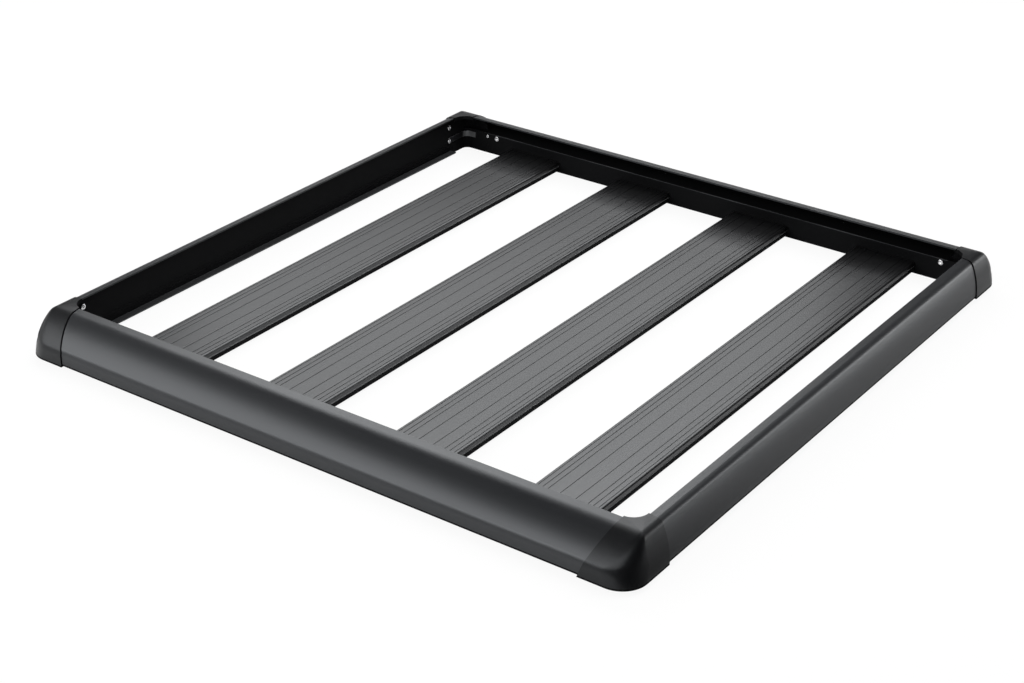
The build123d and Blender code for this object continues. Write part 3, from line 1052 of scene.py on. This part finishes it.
def trim_cap(piece, hand, seam_cuts):
    """Cuts a cap's shell off at its seams, rounds its edges and paints it, with painted shade inside and at
    the foot. The hand is 1 on the right.
    """
    def painted_shade_on_cap(middle, normal):
        """Whether a face gets painted shade, flat black: it looks into the rack, or is part of the dark
        line along the foot.
        """
        looks_in = normal.y - hand * normal.x > into_rack and normal.z < not_top
        return looks_in or cap_line_start < middle.z < cap_foot_height + foot_line

    pick(piece)
    bpy.ops.object.mode_set(mode="EDIT")
    for spot, outward in seam_cuts:
        cut_off(spot, outward)
    cut_off((0, front_edge + cap_side_reach, 0), (0, 1, 0))
    finish_edges(piece, edge_round, cap_segments, cap_sharp)
    piece.data.materials.append(cap_plastic)
    # Painted shade on the faces that look into the rack and on the line along the foot.
    paint_faces(piece, painted_shade_black, painted_shade_on_cap)


left_cap = mirrored_copy(cap, "corner_cap_front_left_moulded")
trim_cap(cap, 1, [((side_edge - cap_reach_at_crease, 0, crease_height), (-1, 0, seam_lean))])
trim_cap(left_cap, -1, [
    ((left_seam_reach - side_edge, 0, crease_height), (1, 0, left_seam_lean)),
    ((left_band_reach - side_edge, 0, 0), (1, 0, 0)),
])
caps = {
    "corner_cap_front_right": cap,
    "corner_cap_front_left": left_cap,
    "corner_cap_rear_left": turned_copy(cap, "corner_cap_rear_left_moulded"),
    "corner_cap_rear_right": turned_copy(left_cap, "corner_cap_rear_right_moulded"),
}
for node, piece in caps.items():
    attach(piece, "root")
    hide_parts(node)

# Corner brackets: bent aluminium angles behind the walls of each corner, left in mill finish.
# They keep their drilled shape and get a brushed grain along the strip.
bracket_nodes = (
    "corner_bracket_front_left",
    "corner_bracket_front_right",
    "corner_bracket_rear_left",
    "corner_bracket_rear_right",
)
mill_dark = (0.46, 0.47, 0.48)
mill_light = (0.60, 0.61, 0.62)
mill_roughness = (0.34, 0.50)
mill_streaks = (30, 30, 900)
metal_grain = 0.0001


def bare_metal(name, dark, light, roughness, stretch):
    """Bare metal with a fine grain that catches the light along one direction."""
    metal = satin_coat(name, dark, light, roughness, stretch, metal_grain)
    metal.node_tree.nodes["Principled BSDF"].inputs["Metallic"].default_value = 1.0
    return metal


mill_finish = bare_metal("mill_finish", mill_dark, mill_light, mill_roughness, mill_streaks)
for node in bracket_nodes:
    bracket = bpy.data.objects[node]
    bracket.data.materials.clear()
    bracket.data.materials.append(mill_finish)

# Corner straps: the flat strip that shows in each corner, bent round the cap's inner wall.
# The lower screw in the side wall holds it, and its short end has a painted highlight, a light grey coat.
strap_bottom = 0.0215
strap_height = 0.0100
strap_thickness = 0.0012
strap_side_end = 0.0925
strap_front_end = 0.0430
strap_arc_steps = 6
strap_segments = 1
strap_sharp = math.radians(35)
bend_side = slim_wall_inset + cap_lower_radius
bend_front = wide_wall_inset + cap_lower_radius


def at_corner(side, front):
    """A point in plan, given inboard from the right and from the front, at the strap's lower edge."""
    return Vector((side_edge - side, front_edge + front, strap_bottom))


strap_stops = [
    at_corner(slim_wall_inset, strap_side_end),
    at_corner(slim_wall_inset, bend_front),
    (at_corner(bend_side, bend_front), at_corner(bend_side, wide_wall_inset)),
    at_corner(strap_front_end, wide_wall_inset),
    at_corner(strap_front_end, wide_wall_inset + strap_thickness),
    at_corner(bend_side, wide_wall_inset + strap_thickness),
    (at_corner(bend_side, bend_front), at_corner(slim_wall_inset + strap_thickness, bend_front)),
    at_corner(slim_wall_inset + strap_thickness, strap_side_end),
    at_corner(slim_wall_inset, strap_side_end),
]
strap = new_point("corner_strap_front_right", strap_stops[0])
trace(strap_stops, (0, 0, 1), strap_arc_steps)
fill_and_pull((0, 0, strap_height))
finish_edges(strap, edge_round / 2, strap_segments, strap_sharp)
strap.data.materials.append(rail_coat_y)
# Painted highlight on the strap's short end.
paint_faces(strap, painted_highlight_coat, lambda middle, normal: middle.y < front_edge + bend_front)
left_strap = mirrored_copy(strap, "corner_strap_front_left")
rear_left_strap = turned_copy(strap, "corner_strap_rear_left")
rear_right_strap = turned_copy(left_strap, "corner_strap_rear_right")
for piece in (strap, left_strap, rear_left_strap, rear_right_strap):
    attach(piece, "root")

# Corner and slat screws: bright stainless button heads with a hex socket, each on a plain shank.
# The corner ones hold the caps and brackets to the rails, and the slat ones enter the slats' ends.
# Each size is the head's radius, the head's height and the shank's length.
shank_radius = 0.0025
large_head = (0.00475, 0.00275, 0.0090)
small_head = (0.00320, 0.00200, 0.0090)
slat_head = (0.00500, 0.00350, 0.0200)
side_screw_inset = 0.0905
side_screw_heights = (0.0505, 0.0265)
front_screw_height = 0.0305
pair_screw_x = (0.4305, 0.4105)
single_screw_x = 0.4220
slat_screw_spread = 0.0300
slat_screw_height = 0.0115
head_sides = 32
head_top = 0.99
dome_share = 0.55
dome_segments = 4
socket_sides = 6
socket_share = 0.42
shank_sides = 20
screw_sharp = math.radians(35)
steel_dark = (0.84, 0.84, 0.85)
steel_light = (0.94, 0.94, 0.95)
steel_roughness = (0.18, 0.26)
steel_streaks = (240, 240, 240)
face_inboard = (0, -math.pi / 2, 0)
face_back = (-math.pi / 2, 0, 0)
face_front = (math.pi / 2, 0, 0)


def button_screw(name, head_radius, head_height, shank_length):
    """One screw standing at the middle with its head up: domed head, hex socket and shank."""
    bpy.ops.object.select_all(action="DESELECT")
    bpy.ops.mesh.primitive_cylinder_add(
        vertices=head_sides, radius=head_radius, depth=head_height, location=(0, 0, head_height / 2),
    )
    head = bpy.context.object
    head.name = name
    head.data.name = name
    bpy.ops.object.transform_apply()
    bpy.ops.object.mode_set(mode="EDIT")
    select_edges(head, lambda spot: spot.z > head_height * head_top)
    bpy.ops.mesh.bevel(offset=head_height * dome_share, segments=dome_segments, affect="EDGES")
    bpy.ops.object.mode_set(mode="OBJECT")
    bpy.ops.object.select_all(action="DESELECT")
    bpy.ops.mesh.primitive_cylinder_add(
        vertices=socket_sides, radius=head_radius * socket_share, depth=head_height,
        location=(0, 0, head_height),
    )
    hex_key = bpy.context.object
    socket = head.modifiers.new("socket", "BOOLEAN")
    socket.operation = "DIFFERENCE"
    socket.object = hex_key
    bpy.context.view_layer.objects.active = head
    bpy.ops.object.modifier_apply(modifier=socket.name)
    bpy.ops.object.delete()
    bpy.ops.mesh.primitive_cylinder_add(
        vertices=shank_sides, radius=shank_radius, depth=shank_length, location=(0, 0, -shank_length / 2),
    )
    head.select_set(True)
    bpy.context.view_layer.objects.active = head
    bpy.ops.object.join()
    bpy.ops.object.shade_smooth_by_angle(angle=screw_sharp)
    return head


def set_screw(model, seat, turn):
    """A copy of a screw, turned to face its way and moved to its seat."""
    screw = plain_copy(model, model.name + "_set")
    screw.rotation_euler = turn
    screw.location = seat
    bpy.ops.object.transform_apply()
    return screw


def one_piece(pieces, name):
    """Joins screws into the piece that stands for one set of them."""
    bpy.ops.object.select_all(action="DESELECT")
    for piece in pieces:
        piece.select_set(True)
    bpy.context.view_layer.objects.active = pieces[0]
    bpy.ops.object.join()
    pieces[0].name = name
    pieces[0].data.name = name
    return pieces[0]


bright_steel = bare_metal("bright_steel", steel_dark, steel_light, steel_roughness, steel_streaks)
large_screw = button_screw("large_screw", *large_head)
small_screw = button_screw("small_screw", *small_head)
slat_screw = button_screw("slat_screw", *slat_head)
for model in (large_screw, small_screw, slat_screw):
    model.data.materials.append(bright_steel)

side_seats = [
    (side_edge - slim_wall_inset, front_edge + side_screw_inset, height) for height in side_screw_heights
]
wall_face = front_edge + wide_wall_inset
pair_set = [set_screw(large_screw, seat, face_inboard) for seat in side_seats]
pair_set.append(set_screw(small_screw, (pair_screw_x[0], wall_face, front_screw_height), face_back))
pair_set.append(set_screw(large_screw, (pair_screw_x[1], wall_face, front_screw_height), face_back))
single_set = [set_screw(large_screw, seat, face_inboard) for seat in side_seats]
single_set.append(set_screw(large_screw, (single_screw_x, wall_face, front_screw_height), face_back))
right_screws = one_piece(pair_set, "corner_screws_front_right_steel")
single_model = one_piece(single_set, "single_screw_set")
left_screws = mirrored_copy(single_model, "corner_screws_front_left_steel")
screw_pieces = {
    "corner_screws_front_right": right_screws,
    "corner_screws_front_left": left_screws,
    "corner_screws_rear_left": turned_copy(right_screws, "corner_screws_rear_left_steel"),
    "corner_screws_rear_right": turned_copy(left_screws, "corner_screws_rear_right_steel"),
}

screw_seat = wall_face - skin
for number, node in enumerate(slat_names, 1):
    low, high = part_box(node)
    middle = (low.x + high.x) / 2
    held = []
    for place in (middle - slat_screw_spread, middle + slat_screw_spread):
        held.append(set_screw(slat_screw, (place, screw_seat, slat_screw_height), face_front))
        held.append(set_screw(slat_screw, (place, -screw_seat, slat_screw_height), face_back))
    screw_pieces[f"slat_screws_{number}"] = one_piece(held, f"slat_screws_{number}_steel")

bpy.ops.object.select_all(action="DESELECT")
for model in (large_screw, small_screw, slat_screw, single_model):
    model.select_set(True)
bpy.ops.object.delete()
for node, piece in screw_pieces.items():
    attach(piece, "root")
    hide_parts(node)
